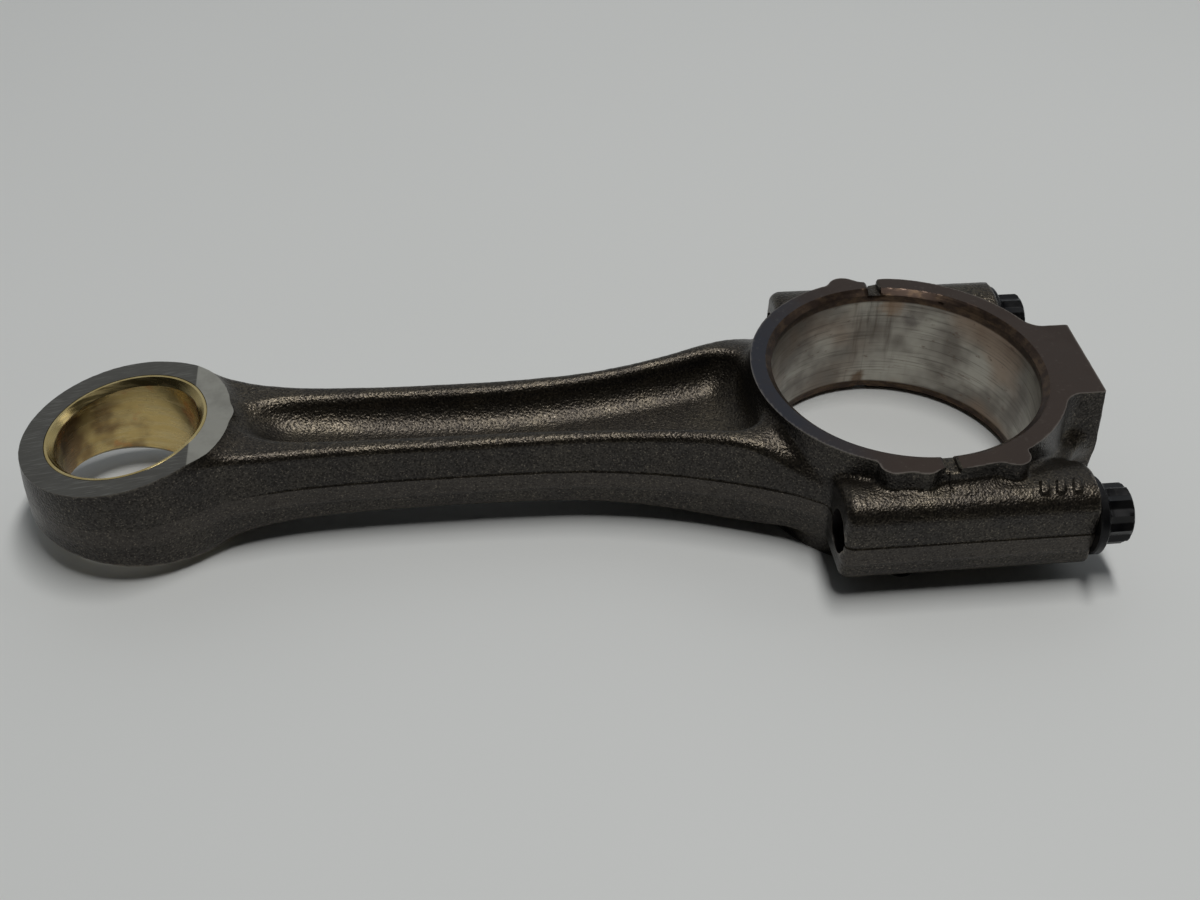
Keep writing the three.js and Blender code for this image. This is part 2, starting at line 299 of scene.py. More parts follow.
def piece_of(name, points, faces, slots, face_slot, keen=None):
    """A mesh object from points in millimetres of the rod's own u, v, w; keen marks its edges, but
    for those of the notch and the parting line."""
    mesh = bpy.data.meshes.new(name)
    place = (points + (PIN_X, 0, HALF_WIDTH)) * MM
    mesh.vertices.add(len(place))
    mesh.vertices.foreach_set("co", place.astype(np.float32).ravel())
    mesh.loops.add(faces.size)
    mesh.loops.foreach_set("vertex_index", faces.astype(np.int32).ravel())
    mesh.polygons.add(len(faces))
    mesh.polygons.foreach_set("loop_start", np.arange(0, faces.size, 4, dtype=np.int32))
    mesh.update(calc_edges=True)
    for material in slots:
        mesh.materials.append(material)
    mesh.polygons.foreach_set("material_index", np.asarray(face_slot, dtype=np.int32))
    if keen is not None:
        start, end, _ = NOTCH
        at_notch = np.abs(points[:, 0] - (start + end) / 2) < end - start
        keen = keen * ~at_notch * (np.abs(points[:, 2]) > 1)
        mesh.attributes.new("edge", "FLOAT", "POINT").data.foreach_set("value", keen.astype(np.float32))
    mesh.shade_smooth()
    mesh.set_sharp_from_angle(angle=math.radians(32))
    mesh.validate()
    made = bpy.data.objects.new(name, mesh)
    bpy.context.scene.collection.objects.link(made)
    return made


def plug(tree, socket, value):
    """Gives a socket its value, or a link if the value is another socket."""
    if isinstance(value, bpy.types.NodeSocket):
        tree.links.new(value, socket)
    else:
        socket.default_value = value


def put(tree, kind, inputs=(), **settings):
    """A shader node; inputs pairs a socket's name or number with a value or another socket."""
    made = tree.nodes.new("ShaderNode" + kind)
    for key, value in settings.items():
        setattr(made, key, value)
    for key, value in dict(inputs).items():
        plug(tree, made.inputs[key], value)
    return made


def new_material(name):
    """A material with one Principled shader; returns it, its tree and the shader."""
    material = bpy.data.materials.new(name)
    material.use_nodes = True
    tree = material.node_tree
    return material, tree, tree.nodes["Principled BSDF"]


def maths(tree, what, *values):
    """The output of one Math node."""
    return put(tree, "Math", enumerate(values), operation=what).outputs[0]


def span(tree, value, low, high, to_low=0.0, to_high=1.0):
    """value moved from low..high to to_low..to_high, smoothly and held at the ends."""
    inputs = {"Value": value, "From Min": low, "From Max": high, "To Min": to_low, "To Max": to_high}
    return put(tree, "MapRange", inputs, interpolation_type="SMOOTHSTEP").outputs[0]


def blended(tree, amount, first, second):
    """Two colours mixed by amount."""
    return put(tree, "Mix", {0: amount, 6: first, 7: second}, data_type="RGBA").outputs[2]


def noise(tree, where, scale, detail=3.0, rough=0.5, stretch=None):
    """Noise between 0 and 1; stretch squeezes the pattern along each axis."""
    if stretch:
        where = put(tree, "Mapping", {"Vector": where, "Scale": stretch}).outputs[0]
    inputs = {"Vector": where, "Scale": scale, "Detail": detail, "Roughness": rough}
    return put(tree, "TexNoise", inputs).outputs["Fac"]


def new_group(name, inputs, outputs):
    """A node group with named sockets: inputs pairs a name with its default, outputs with its kind."""
    group = bpy.data.node_groups.new(name, "ShaderNodeTree")
    for label, value in inputs:
        kind = "NodeSocketColor" if isinstance(value, tuple) else "NodeSocketFloat"
        socket = group.interface.new_socket(label, in_out="INPUT", socket_type=kind)
        socket.default_value = value
    for label, kind in outputs:
        group.interface.new_socket(label, in_out="OUTPUT", socket_type="NodeSocket" + kind)
    return group, group.nodes.new("NodeGroupInput"), group.nodes.new("NodeGroupOutput")


def use_group(tree, group, **values):
    """The group placed in a material with its own values; returns its outputs."""
    made = put(tree, "Group", node_tree=group)
    for label, value in values.items():
        plug(tree, made.inputs[label], value)
    return made.outputs


def dress(tree, shader, colour, roughness, metallic, bump):
    """Gives a shader its colour, roughness, metallic share and bump: height, strength and depth."""
    plug(tree, shader.inputs["Base Color"], colour)
    plug(tree, shader.inputs["Roughness"], roughness)
    shader.inputs["Metallic"].default_value = metallic
    height, strength, depth = bump
    plug(tree, shader.inputs["Normal"],
         put(tree, "Bump", {"Height": height, "Strength": strength, "Distance": depth}).outputs[0])


# the materials use this mask to paint edges lighter, for rubbed wear together with a painted edge
# highlight
def rubbed_edge_and_highlight(tree, low, high):
    """1 on the surface's sharp edges and 0 on its smooth skin."""
    return span(tree, put(tree, "Attribute", attribute_name="edge").outputs["Fac"], low, high)


# grain: the pebbled surface that scale and shot blasting leave on a forging
grain_group, grain_in, grain_out = new_group(
    "forge_grain", [("Size", 0.5), ("Softness", 0.5)],
    [("Height", "Float"), ("Ridges", "Float"), ("Flecks", "Float"), ("Patches", "Float")])
g_where = put(grain_group, "TexCoord").outputs["Object"]
g_scale = maths(grain_group, "DIVIDE", 1000.0, grain_in.outputs["Size"])
g_cells = put(grain_group, "TexVoronoi", {"Vector": g_where, "Scale": g_scale, "Randomness": 1.0},
              feature="SMOOTH_F1").outputs["Distance"]
g_fine = noise(grain_group, g_where, 3000.0, 2.0, 0.55)
g_broad = noise(grain_group, g_where, 120.0, 3.0, 0.5)
g_relief = maths(grain_group, "SUBTRACT", 1.0, grain_in.outputs["Softness"])
g_cells = maths(grain_group, "MULTIPLY", g_cells, g_relief)
g_mixed = maths(grain_group, "MULTIPLY_ADD", g_fine, 0.5, g_cells)
grain_group.links.new(g_mixed, grain_out.inputs["Height"])
grain_group.links.new(span(grain_group, g_mixed, 0.30, 0.62), grain_out.inputs["Ridges"])
grain_group.links.new(span(grain_group, g_fine, 0.58, 0.74), grain_out.inputs["Flecks"])
grain_group.links.new(span(grain_group, g_broad, 0.36, 0.66), grain_out.inputs["Patches"])

# forged skin: near-black scale with a bronze cast, its proud edges painted lighter: partly rubbed by
# handling, partly a painted edge highlight
forged_skin, fs, fs_shader = new_material("forged_skin")
fs_grain = use_group(fs, grain_group, Size=0.44, Softness=0.4)
fs_where = put(fs, "TexCoord").outputs["Object"]
fs_level = maths(fs, "SUBTRACT", put(fs, "SeparateXYZ", {0: fs_where}).outputs[2], HALF_WIDTH * MM)
fs_above = span(fs, fs_level, -0.0044, -0.0036)
fs_band = maths(fs, "MULTIPLY", fs_above, span(fs, fs_level, 0.00012, -0.00012))
fs_faces = put(fs, "SeparateXYZ", {0: put(fs, "NewGeometry").outputs["Normal"]}).outputs
fs_up = maths(fs, "ABSOLUTE", fs_faces[2])
fs_flank = span(fs, fs_up, 0.45, 0.2)
fs_band = maths(fs, "MULTIPLY", fs_band, fs_flank)
fs_colour = blended(fs, fs_grain["Patches"], (0.058, 0.049, 0.038, 1), (0.088, 0.074, 0.053, 1))
# painted shade: the upright walls are painted darker and greyer than the faces that look up or down
fs_colour = blended(fs, maths(fs, "MULTIPLY", fs_flank, 0.6), fs_colour, (0.050, 0.049, 0.050, 1))
# painted shade: the grain's valleys are painted near-black, standing in for the shade among its pebbles
fs_valley_shade = maths(fs, "SUBTRACT", 1.0, fs_grain["Ridges"])
fs_colour = blended(fs, maths(fs, "MULTIPLY", fs_valley_shade, 0.75), fs_colour, (0.016, 0.014, 0.013, 1))
fs_colour = blended(fs, maths(fs, "MULTIPLY", fs_band, 0.3), fs_colour, (0.100, 0.088, 0.078, 1))
fs_colour = blended(fs, maths(fs, "MULTIPLY", fs_grain["Flecks"], 0.7), fs_colour, (0.23, 0.20, 0.16, 1))
fs_pits = noise(fs, fs_where, 1500.0, 2.0, 0.6)
fs_colour = blended(fs, span(fs, fs_pits, 0.46, 0.34, 0, 0.5), fs_colour, (0.022, 0.019, 0.017, 1))
# painted highlight: the sharp edges are painted lighter, standing in for the light they catch as well as
# for rubbing
fs_edge_rub_and_highlight = maths(fs, "MULTIPLY", rubbed_edge_and_highlight(fs, 0.05, 0.25), 0.35)
fs_colour = blended(fs, fs_edge_rub_and_highlight, fs_colour, (0.30, 0.27, 0.23, 1))
fs_drag = noise(fs, fs_where, 900.0, 3.0, 0.6, (0.06, 1, 1))
fs_height = maths(fs, "MULTIPLY_ADD", fs_grain["Height"], span(fs, fs_band, 0, 1, 1.0, 0.65),
                  maths(fs, "MULTIPLY", fs_drag, maths(fs, "MULTIPLY", fs_band, 0.8)))
fs_height = maths(fs, "MULTIPLY", fs_height, span(fs, fs_flank, 0, 1, 1.0, 0.9))
fs_rough = maths(fs, "MULTIPLY_ADD", fs_grain["Patches"], -0.05, 0.36)
dress(fs, fs_shader, fs_colour, fs_rough, 0.85, (fs_height, 1.0, 0.00016))

# machined faces of the big end: fine turning marks under baked brown oil
big_face, bf, bf_shader = new_material("big_end_face")
bf_where = put(bf, "TexCoord").outputs["Object"]
bf_along = maths(bf, "SUBTRACT", put(bf, "SeparateXYZ", {0: bf_where}).outputs[0],
                 (PIN_X + CENTRES) * MM)
bf_stain = noise(bf, bf_where, 70.0, 4.0, 0.6)
bf_fine = noise(bf, bf_where, 900.0, 3.0, 0.6)
bf_side = span(bf, bf_along, -0.026, -0.006)
bf_colour = blended(bf, bf_side, (0.042, 0.043, 0.052, 1), (0.068, 0.049, 0.039, 1))
bf_colour = blended(bf, span(bf, bf_stain, 0.42, 0.62, 0, 0.55), bf_colour, (0.048, 0.034, 0.027, 1))
bf_colour = blended(bf, span(bf, bf_fine, 0.6, 0.72, 0, 0.12), bf_colour, (0.22, 0.19, 0.16, 1))
# painted highlight: the faces' sharp edges are painted lighter, standing in for the light they catch as
# well as for rubbing
bf_edge_rub_and_highlight = maths(bf, "MULTIPLY", rubbed_edge_and_highlight(bf, 0.08, 0.3), 0.35)
bf_colour = blended(bf, bf_edge_rub_and_highlight, bf_colour, (0.42, 0.38, 0.33, 1))
bf_rough = span(bf, bf_stain, 0.35, 0.65, 0.34, 0.5)
dress(bf, bf_shader, bf_colour, bf_rough, 0.85, (bf_fine, 0.25, 0.00004))

# small end's side faces: ground steel, still grey
eye_face, ef, ef_shader = new_material("small_end_face")
ef_where = put(ef, "TexCoord").outputs["Object"]
ef_lines = noise(ef, ef_where, 260.0, 2.0, 0.5, (1.0, 14.0, 1.0))
ef_cloud = noise(ef, ef_where, 160.0, 4.0, 0.6)
ef_along = put(ef, "SeparateXYZ", {0: ef_where}).outputs[0]
ef_lit_flat = span(ef, ef_along, (PIN_X + TAPER_START - 0.15) * MM, (PIN_X + TAPER_START + 0.15) * MM)
# painted light and shade: the flat part beside the beam is painted about three times lighter than the
# sloping part, for how differently the two reflect
ef_colour = blended(ef, ef_lit_flat, (0.13, 0.124, 0.108, 1), (0.42, 0.405, 0.35, 1))
ef_colour = blended(ef, span(ef, ef_cloud, 0.4, 0.68, 0, 0.35), ef_colour, (0.10, 0.095, 0.088, 1))
ef_colour = blended(ef, span(ef, ef_lines, 0.5, 0.75, 0, 0.3), ef_colour, (0.42, 0.41, 0.37, 1))
ef_rough = span(ef, ef_cloud, 0.3, 0.7, 0.33, 0.46)
dress(ef, ef_shader, ef_colour, ef_rough, 0.9, (ef_lines, 0.3, 0.00005))

# crankpin bore: fine-bored steel, rubbed grey where the bearing shells sat, brown outside them
bore_wall, bw, bw_shader = new_material("crankpin_bore_wall")
bw_where = put(bw, "TexCoord").outputs["Object"]
bw_bore_middle = (-(PIN_X + CENTRES) * MM, 0, -HALF_WIDTH * MM)
bw_centre = put(bw, "Mapping", {"Vector": bw_where, "Location": bw_bore_middle}).outputs[0]
bw_axes = put(bw, "SeparateXYZ", {0: bw_centre}).outputs
bw_level = maths(bw, "ABSOLUTE", bw_axes[2])
bw_wave = noise(bw, bw_where, 55.0, 2.0, 0.5)
bw_seat = span(bw, maths(bw, "MULTIPLY_ADD", bw_wave, 0.0008, bw_level), 0.0105, 0.0100)
bw_streak = noise(bw, bw_where, 75.0, 4.0, 0.6, (1.0, 1.0, 30.0))
bw_cloud = noise(bw, bw_where, 90.0, 3.0, 0.55)
bw_mottle = noise(bw, bw_where, 330.0, 4.0, 0.65, (1.0, 1.0, 2.2))
bw_tint = noise(bw, bw_where, 60.0, 2.0, 0.5)
bw_smear = noise(bw, bw_where, 420.0, 3.0, 0.6, (1.0, 0.5, 0.10))
bw_near_joint = maths(bw, "MULTIPLY", span(bw, bw_axes[0], -0.007, -0.001),
                      span(bw, bw_axes[0], 0.011, 0.004))
bw_colour = blended(bw, span(bw, bw_cloud, 0.35, 0.65), (0.19, 0.172, 0.15, 1), (0.43, 0.41, 0.36, 1))
bw_colour = blended(bw, span(bw, bw_tint, 0.42, 0.64, 0, 0.7), bw_colour, (0.30, 0.215, 0.155, 1))
bw_colour = blended(bw, span(bw, bw_streak, 0.50, 0.70, 0, 0.5), bw_colour, (0.11, 0.095, 0.082, 1))
bw_lines = maths(bw, "MULTIPLY", bw_near_joint, span(bw, bw_smear, 0.5, 0.7, 0, 0.7))
bw_colour = blended(bw, bw_lines, bw_colour, (0.09, 0.072, 0.058, 1))
bw_colour = blended(bw, span(bw, bw_mottle, 0.60, 0.74, 0, 0.7), bw_colour, (0.13, 0.082, 0.060, 1))


def stain(tree, where, u, v, w, radius):
    """A blot with a ragged edge: 1 at its middle, 0 beyond its radius."""
    centre = ((PIN_X + u) * MM, v * MM, (HALF_WIDTH + w) * MM)
    apart = put(tree, "VectorMath", {0: where, 1: centre}, operation="DISTANCE").outputs["Value"]
    ragged = maths(tree, "MULTIPLY_ADD", noise(tree, where, 500.0, 3.0, 0.6), radius * MM, apart)
    return span(tree, ragged, 1.35 * radius * MM, 0.75 * radius * MM)


bw_rust = maths(bw, "MULTIPLY", stain(bw, bw_where, 148.5, 24.9, 9.0, 4.5), 0.5)
bw_colour = blended(bw, bw_rust, bw_colour, (0.34, 0.20, 0.11, 1))
bw_brown_blot = maths(bw, "MULTIPLY", stain(bw, bw_where, 143.4, 25.3, -8.8, 2.4), 0.8)
bw_colour = blended(bw, bw_brown_blot, bw_colour, (0.13, 0.075, 0.04, 1))
bw_dark_blot = maths(bw, "MULTIPLY", stain(bw, bw_where, 152.5, 23.9, 6.0, 3.2), 0.6)
bw_colour = blended(bw, bw_dark_blot, bw_colour, (0.10, 0.085, 0.08, 1))
bw_brown = blended(bw, span(bw, bw_mottle, 0.4, 0.65), (0.050, 0.034, 0.026, 1),
                   (0.105, 0.070, 0.045, 1))
bw_colour = blended(bw, bw_seat, bw_brown, bw_colour)
bw_rough = span(bw, bw_streak, 0.35, 0.7, 0.30, 0.45)
dress(bw, bw_shader, bw_colour, bw_rough, 0.9, (bw_streak, 0.25, 0.00005))

# the broken joint faces: bright crystalline steel
broken_face, kf, kf_shader = new_material("fractured_joint_face")
kf_where = put(kf, "TexCoord").outputs["Object"]
kf_grain = noise(kf, kf_where, 1100.0, 5.0, 0.7)
kf_cloud = noise(kf, kf_where, 150.0, 2.0, 0.5)
kf_colour = blended(kf, kf_grain, (0.11, 0.108, 0.105, 1), (0.34, 0.335, 0.325, 1))
kf_colour = blended(kf, span(kf, kf_cloud, 0.45, 0.65, 0, 0.4), kf_colour, (0.15, 0.125, 0.10, 1))
dress(kf, kf_shader, kf_colour, 0.5, 0.9, (kf_grain, 0.9, 0.00025))

STEEL_SLOTS = (forged_skin, big_face, eye_face, bore_wall, broken_face)


def steel_finish(point, normal):
    """Which finish each face has, from where the surface lies and which way it looks."""
    u, v, w = point.T
    up = np.abs(w)
    r = np.hypot(u - CENTRES, v)
    upright = np.abs(normal[:, 2]) > 0.97
    finish = np.zeros(len(u), dtype=int)
    finish[np.hypot(np.abs(v) - BOLT_V, w) < BOLT_HOLE_R + 0.05] = 1
    finish[(up > HALF_WIDTH - 0.01) & upright] = 1
    on_eye_face = (u < SMALL_END_REACH) & (np.abs(up - small_end_face(u)) < 0.03)
    finish[on_eye_face & (np.abs(normal[:, 2]) > 0.9)] = 2
    finish[np.hypot(u, v) < BUSH_SEAT_R + 0.02] = 2
    finish[(r < BORE_R + BORE_CHAMFER + 0.01) & ~upright] = 3
    finish[(np.abs(u - CENTRES) < JOINT_HALF_GAP + 0.01) & (np.abs(normal[:, 0]) > 0.97)] = 4
    return finish


STEP = 0.54
PARTING = [(-0.7, 0.9)]       # the levels that hold the parting line's groove
rod_points, rod_quads, rod_cross, rod_normal, rod_keen = surface_points(
    rod_field,
    levels(-20.6, CENTRES + 1, STEP),
    levels(-37.3, 37.3, STEP),
    levels(-13.1, 13.1, STEP, PARTING),
)
rod = piece_of("rod_steel", rod_points, rod_quads, STEEL_SLOTS,
               steel_finish(rod_cross, rod_normal), rod_keen)
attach(rod, "rod")
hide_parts("rod_forging")

# ======================================================================== bearing cap
# The cap was broken off the same forging, so it fits only its own rod. Its end carries a pad
# that is milled to balance the rod, and each boss has a spot-faced seat for a bolt.

CAP_RING_R = 29.85
SEAT_R = 8.3
PAD_HALF = 10.8
PAD_END = 179.2
PAD_FILLET = 2.4
SHOULDER_FILLET = 3.2
CAP_BOSS_FILLET = 1.6
SEAT_U = 170.6
MARK_V = -31.6
SHOULDER = [(0, 170), (8, 174.2), (10.8, 176.4), (12.2, 175.7), (15.6, 173.4), (19.5, 172), (23, 171.4),
            (28, 171), (40, 171)]


def cap_blank(u, v, w):
    """The cap's forging: ring, balance pad, shoulders, bolt bosses, side lug and raised marks."""
    out, up = np.abs(v), np.abs(w)
    turned = v * np.where(w < 0, -1.0, 1.0)
    swell = SWELL * (1 - up / HALF_WIDTH)
    ring = round_wall(u - CENTRES, v, w, CAP_RING_R, HALF_WIDTH) + joint_dip(u, turned)
    pad = corner(out - PAD_HALF - swell, u - PAD_END - swell, 0.5)
    pad = np.maximum(pad, 150 - u)
    blank = fillet(ring, pad, PAD_FILLET)
    edge = (u - line_through(SHOULDER, out)) * 0.8
    shelf = corner(edge + 0.05 * up, up - 2.2 - 5.4 * ease(20, 31.5, out), 1.6)
    shelf = np.maximum(shelf, np.maximum(146 - u, out - 31))
    blank = fillet(blank, shelf, SHOULDER_FILLET)
    blank = fillet(blank, boss(u, v, w, 120, SEAT_U + 0.45, (1, 0.9)), CAP_BOSS_FILLET)
    lug = fillet(round_wall(u - 147, turned + 25.9, w, 2.6, HALF_WIDTH),
                 round_wall(u - 156.5, turned + 27.1, w, 2.5, HALF_WIDTH), 3.0)
    bar = corner(np.abs(u - 151) - 6.5, np.abs(turned + 25) - 3.5 - swell, 1.0)
    blank = fillet(blank, fillet(lug, bar, 2.0), LUG_FILLET)
    # three plain raised bars: the forging's cavity mark
    bars = 0
    across = turned - MARK_V
    for place in (160.9, 163.9, 166.9):
        bar = corner(np.abs(u - place - 0.25 * across) - 0.8, np.abs(across) - 1.5, 0.5)
        bars = bars + 0.5 * ease(0.3, -0.3, bar)
    return blank - skin(u, v, w) - bars * ease(3, 5, up)


def cap_field(u, v, w):
    """The finished cap: below zero inside the steel."""
    part = machined(cap_blank(u, v, w), u, v, w)
    seat = np.maximum(np.hypot(np.abs(v) - BOLT_V, w) - SEAT_R, SEAT_U - u)
    part = np.maximum(part, -seat)
    return np.maximum(part, CENTRES + JOINT_HALF_GAP - u)


def cap_finish(point, normal):
    """As the rod, with the spot-faced bolt seats added."""
    finish = steel_finish(point, normal)
    finish[(np.abs(point[:, 0] - SEAT_U) < 0.02) & (normal[:, 0] > 0.97)] = 1
    return finish


CAP_STEP = 0.84 * STEP
cap_points, cap_quads, cap_cross, cap_normal, cap_keen = surface_points(
    cap_field,
    levels(CENTRES - 1, 181.2, CAP_STEP),
    levels(-37.3, 37.3, CAP_STEP),
    levels(-13.1, 13.1, CAP_STEP, PARTING),
)
cap = piece_of("cap_steel", cap_points, cap_quads, STEEL_SLOTS,
               cap_finish(cap_cross, cap_normal), cap_keen)
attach(cap, "cap")
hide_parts("bearing_cap")

# ======================================================================== small-end bush
# A bronze bush pressed into the small end and bored in place. Its ends are faced together with
# the forging's sloping sides, so it is longer towards the beam.

BUSH_R = 14.65
PIN_R = 13.0
BUSH_CHAMFER = 1.1
BUSH_INSET = 0.12             # how far its ends lie below the forging's faces


def swept_grid(rows, closed):
    """Quads of a grid of points: rows run along the profile, columns go round the axis."""
    count, round_count = rows.shape[:2]
    last = count if closed else count - 1
    i = np.arange(last)[:, None]
    j = np.arange(round_count)[None, :]
    after, beside = (i + 1) % count, (j + 1) % round_count
    corners = [i * round_count + j, i * round_count + beside, after * round_count + beside,
               after * round_count + j]
    return np.stack(np.broadcast_arrays(*corners), axis=-1).reshape(-1, 4)


bush_round = 288
bush_angle = np.arange(bush_round) * 2 * math.pi / bush_round
shares = np.linspace(-1, 1, 25)
# each row: its radius, its share of the half length, and how far it lies past that
bush_end = [(BUSH_R - 0.12, 1, 0.10), (PIN_R + BUSH_CHAMFER, 1, 0.10), (PIN_R + 0.15, 1, -0.95)]
bush_profile = [(BUSH_R, share, 0) for share in shares] + bush_end
bush_profile += [(PIN_R, share, -1.15 * share) for share in shares[::-1]]
bush_profile += [(radius, -share, -extra) for radius, share, extra in bush_end[::-1]]
bush_rows = []
for radius, share, extra in bush_profile:
    u = radius * np.cos(bush_angle)
    half = small_end_face(u) - BUSH_INSET
    bush_rows.append(np.stack([u, radius * np.sin(bush_angle), share * half + extra], axis=1))
bush_rows = np.array(bush_rows)
bush_quads = swept_grid(bush_rows, closed=True)

bush_bronze, bb, bb_shader = new_material("bush_bronze")
bb_where = put(bb, "TexCoord").outputs["Object"]
bb_streak = noise(bb, bb_where, 150.0, 3.0, 0.6, (1.0, 1.0, 9.0))
bb_cloud = noise(bb, bb_where, 85.0, 3.0, 0.55)
bb_flat = put(bb, "Mapping", {"Vector": bb_where, "Location": (-PIN_X * MM, 0, 0), "Scale": (1, 1, 0)})
bb_radius = put(bb, "VectorMath", {0: bb_flat.outputs[0]}, operation="LENGTH").outputs["Value"]
bb_inside = span(bb, bb_radius, (PIN_R + 0.12) * MM, (PIN_R + 0.06) * MM)
bb_colour = blended(bb, span(bb, bb_streak, 0.35, 0.7), (0.58, 0.44, 0.18, 1), (0.68, 0.55, 0.27, 1))
bb_stain = maths(bb, "MULTIPLY", bb_inside, span(bb, bb_cloud, 0.46, 0.62, 0.12, 0.85))
bb_colour = blended(bb, bb_stain, bb_colour, (0.16, 0.095, 0.05, 1))
bb_spots = noise(bb, bb_where, 140.0, 3.0, 0.6)
bb_rust = maths(bb, "MULTIPLY", bb_inside, span(bb, bb_spots, 0.56, 0.68, 0, 0.6))
bb_colour = blended(bb, bb_rust, bb_colour, (0.50, 0.20, 0.07, 1))
bb_rough = span(bb, bb_streak, 0.35, 0.7, 0.2, 0.34)
dress(bb, bb_shader, bb_colour, bb_rough, 1.0, (bb_streak, 0.2, 0.00004))

bush = piece_of("pin_bush", bush_rows.reshape(-1, 3), bush_quads, (bush_bronze,),
                np.zeros(len(bush_quads)))
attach(bush, "rod")
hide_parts("small_end_bush")

# ======================================================================== cap bolts
# Two high-tensile 12-point flange bolts, M8 with a fine thread, black-oxided and oiled. They run
# through the cap and screw into the rod; the thread's tip stops short of the boss's open end.

BOLT_TIP = 128.5
THREAD_END = 158.0
THREAD_R = 3.68
THREAD_DEPTH = 0.42
THREAD_PITCH = 1.0
BOLT_SEAT = SEAT_U + 0.1
FLANGE_R = 7.15
HEAD_END = 177.9
HEAD_DISH = HEAD_END - 0.7    # the floor of the round hollow in the head's end
HEAD_FLAT_R = 4.8             # half the width across two opposite flats of either hexagon

bolt_round = 192
bolt_angle = np.arange(bolt_round) * 2 * math.pi / bolt_round
sixth = math.pi / 3
to_flat = np.abs((bolt_angle + sixth / 2) % sixth - sixth / 2)
twelve = HEAD_FLAT_R / np.cos(np.maximum(to_flat, sixth / 2 - to_flat))


def thread_radius(u):
    """A triangular ridge wound round the shank: one pitch along for each turn, run out at its ends."""
    turn = (u / THREAD_PITCH + bolt_angle / (2 * math.pi)) % 1.0
    ridge = 1 - np.abs(2 * turn - 1)
    fade = ease(BOLT_TIP, BOLT_TIP + 1.2, u) * (1 - ease(THREAD_END - 1.5, THREAD_END, u))
    return THREAD_R - THREAD_DEPTH * (1 - ridge * fade)


def end_fan(first, pole, count):
    """Quads that close a ring of count points about its pole, each taking two steps of the ring."""
    j = np.arange(0, count, 2)
    return np.stack([np.full(len(j), pole), first + j, first + j + 1, first + (j + 2) % count], axis=1)


ones = np.ones(bolt_round)
stations = [(BOLT_TIP, (THREAD_R - 1.0) * ones)]
stations += [(u, thread_radius(u)) for u in np.arange(BOLT_TIP + 0.35, THREAD_END, THREAD_PITCH / 8)]
stations += [(u, (THREAD_R - 0.16) * ones) for u in (THREAD_END + 0.6, BOLT_SEAT - 0.7)]
stations += [(BOLT_SEAT - 0.2, (THREAD_R + 0.05) * ones), (BOLT_SEAT, (THREAD_R + 0.35) * ones)]
stations += [(BOLT_SEAT, (FLANGE_R - 0.25) * ones), (BOLT_SEAT + 0.25, FLANGE_R * ones),
             (BOLT_SEAT + 1.45, FLANGE_R * ones), (BOLT_SEAT + 1.75, (FLANGE_R - 0.35) * ones)]
stations += [(BOLT_SEAT + 2.15, (HEAD_FLAT_R + 1.05) * ones), (BOLT_SEAT + 2.4, twelve + 0.16),
             (BOLT_SEAT + 2.8, twelve)]
stations += [(u, twelve) for u in np.linspace(BOLT_SEAT + 3.2, HEAD_END - 0.75, 6)]
stations += [(HEAD_END - 0.35, np.minimum(twelve, HEAD_FLAT_R + 0.48)),
             (HEAD_END - 0.05, np.minimum(twelve, HEAD_FLAT_R + 0.02)),
             (HEAD_END, (HEAD_FLAT_R - 0.25) * ones), (HEAD_END, 3.0 * ones),
             (HEAD_END - 0.12, 2.75 * ones), (HEAD_END - 0.6, 2.3 * ones), (HEAD_DISH, 1.6 * ones)]
bolt_u = np.array([s[0] for s in stations])[:, None] * ones
bolt_r = np.array([s[1] for s in stations])

bolt_black, ob, ob_shader = new_material("bolt_black_oxide")
ob_where = put(ob, "TexCoord").outputs["Object"]
ob_fine = noise(ob, ob_where, 700.0, 3.0, 0.6)
ob_cloud = noise(ob, ob_where, 220.0, 3.0, 0.55)
ob_colour = blended(ob, span(ob, ob_cloud, 0.35, 0.7), (0.006, 0.006, 0.007, 1),
                    (0.014, 0.0135, 0.0135, 1))
ob_colour = blended(ob, span(ob, ob_fine, 0.64, 0.78, 0, 0.4), ob_colour, (0.08, 0.076, 0.072, 1))
ob_rough = span(ob, ob_cloud, 0.3, 0.7, 0.26, 0.4)
dress(ob, ob_shader, ob_colour, ob_rough, 0.6, (ob_fine, 0.2, 0.00004))

for name, side, turn in (("near", -1, 0.11), ("far", 1, 0.37)):
    v = side * BOLT_V + bolt_r * np.sin(bolt_angle + turn)
    w = bolt_r * np.cos(bolt_angle + turn)
    bolt_rows = np.stack([bolt_u, v, w], axis=-1)
    poles = [(BOLT_TIP, side * BOLT_V, 0), (HEAD_DISH, side * BOLT_V, 0)]
    bolt_points = np.concatenate([bolt_rows.reshape(-1, 3), poles])
    tip_pole, head_pole = len(bolt_points) - 2, len(bolt_points) - 1
    bolt_quads = np.concatenate([swept_grid(bolt_rows, closed=False)[:, ::-1],
                                 end_fan(0, tip_pole, bolt_round),
                                 end_fan(tip_pole - bolt_round, head_pole, bolt_round)[:, ::-1]])
    bolt = piece_of(f"bolt_{name}", bolt_points, bolt_quads, (bolt_black,),
                    np.zeros(len(bolt_quads)))
    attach(bolt, f"{name}_bolt")
    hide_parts(f"cap_bolt_{name}")

# ======================================================================== table and light
# A pale satin table top, a long soft lamp overhead, a weak one to the right, and surroundings
# that brighten towards the back.

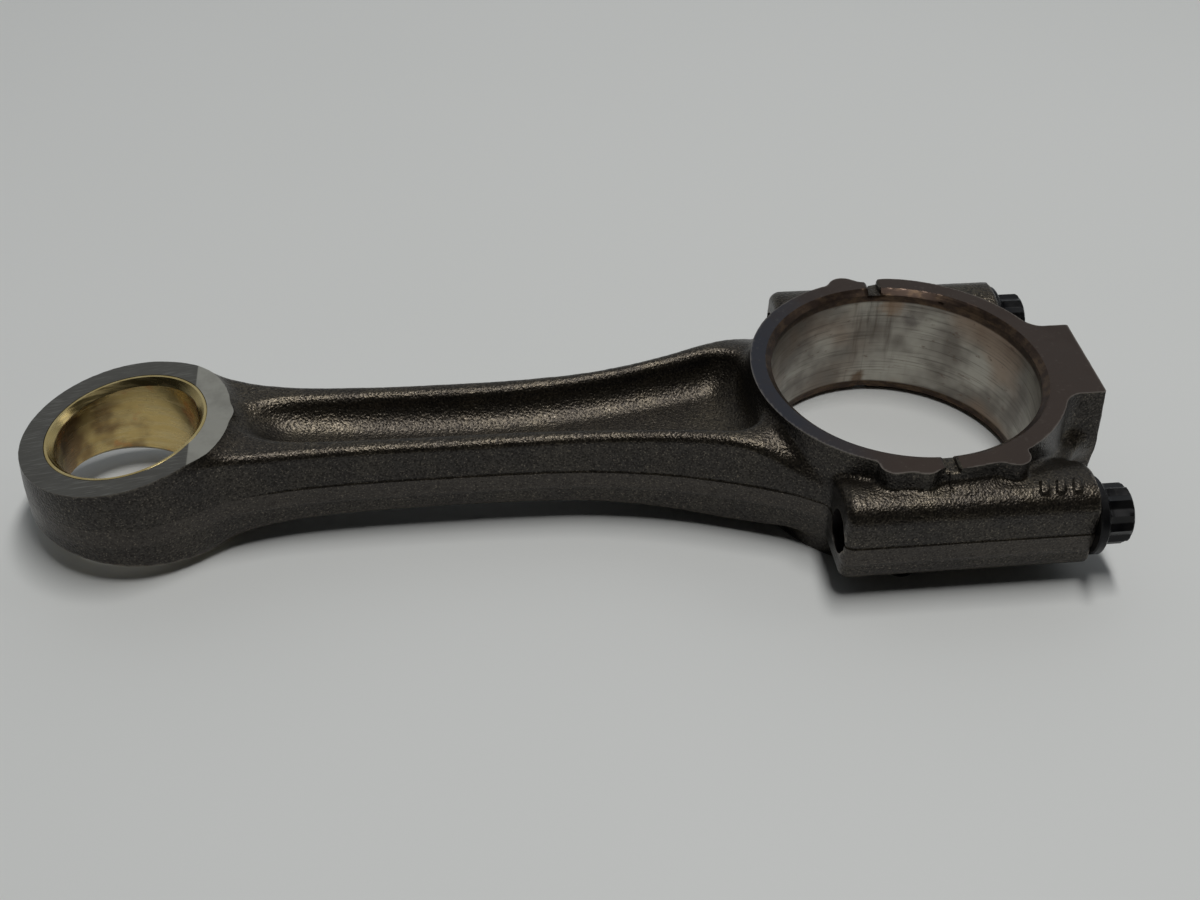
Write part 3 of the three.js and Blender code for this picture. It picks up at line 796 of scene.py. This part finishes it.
reach = 1.6
table_corners = [(-reach, -reach, 0), (reach, -reach, 0), (reach, reach, 0), (-reach, reach, 0)]
floor_mesh = bpy.data.meshes.new("table_top")
floor_mesh.from_pydata(table_corners, [], [(0, 1, 2, 3)])
table = bpy.data.objects.new("table_top", floor_mesh)
bpy.context.scene.collection.objects.link(table)
table_top, tt, tt_shader = new_material("table_top")
tt_cloud = noise(tt, put(tt, "TexCoord").outputs["Object"], 6.0, 2.0, 0.5)
tt_colour = blended(tt, tt_cloud, (0.74, 0.75, 0.725, 1), (0.78, 0.785, 0.765, 1))
plug(tt, tt_shader.inputs["Base Color"], tt_colour)
tt_shader.inputs["Roughness"].default_value = 0.5
tt_shader.inputs["Specular IOR Level"].default_value = 0.3
floor_mesh.materials.append(table_top)
table.location.z = -0.02 * MM

world = bpy.data.worlds.new("surroundings")
bpy.context.scene.world = world
world.use_nodes = True
wn = world.node_tree
way = put(wn, "SeparateXYZ", {0: put(wn, "TexCoord").outputs["Generated"]}).outputs
plug(wn, wn.nodes["Background"].inputs["Strength"], span(wn, way[1], 0.0, 0.72, 0.014, 0.42))
plug(wn, wn.nodes["Background"].inputs["Color"], (0.90, 0.95, 1.0, 1))


def lamp(name, place, size, radiance):
    """A rectangular area lamp, width by height, that shines at the middle of the table."""
    light = bpy.data.lights.new(name, "AREA")
    light.shape = "RECTANGLE"
    light.size, light.size_y = size
    light.energy = radiance * 4 * size[0] * size[1]
    holder = bpy.data.objects.new(name, light)
    holder.location = place
    way = -np.array(place) / np.linalg.norm(place)
    holder.rotation_euler = (math.acos(-way[2]), 0, math.atan2(way[1], way[0]) - math.pi / 2)
    bpy.context.scene.collection.objects.link(holder)


lamp("lamp_above", (0.13, -0.03, 1.1), (0.64, 0.15), 17.0)
lamp("lamp_right", (0.90, 0.14, 0.74), (0.32, 0.30), 0.95)

# ======================================================================== camera
# It looks down at the rod from the front, close enough for strong perspective.

camera_data = bpy.data.cameras.new("camera")
camera_data.lens = 47.81
camera_data.sensor_width = 36
camera_data.clip_start = 0.01
camera = bpy.data.objects.new("camera", camera_data)
heading, tilt, roll = np.radians((7.9382, 39.6322, 1.8030))
level = np.array([math.cos(heading), -math.sin(heading), 0])
ahead = np.array([math.sin(heading) * math.cos(tilt), math.cos(heading) * math.cos(tilt), -math.sin(tilt)])
right = math.cos(roll) * level + math.sin(roll) * np.cross(level, ahead)
above = np.cross(right, ahead)
turned = Matrix((right, above, -ahead)).transposed().to_4x4()
camera.matrix_world = Matrix.Translation(((PIN_X + 54.048) * MM, -231.577 * MM, 202.385 * MM)) @ turned
bpy.context.scene.collection.objects.link(camera)
bpy.context.scene.camera = camera
bpy.context.scene.view_settings.view_transform = "Standard"
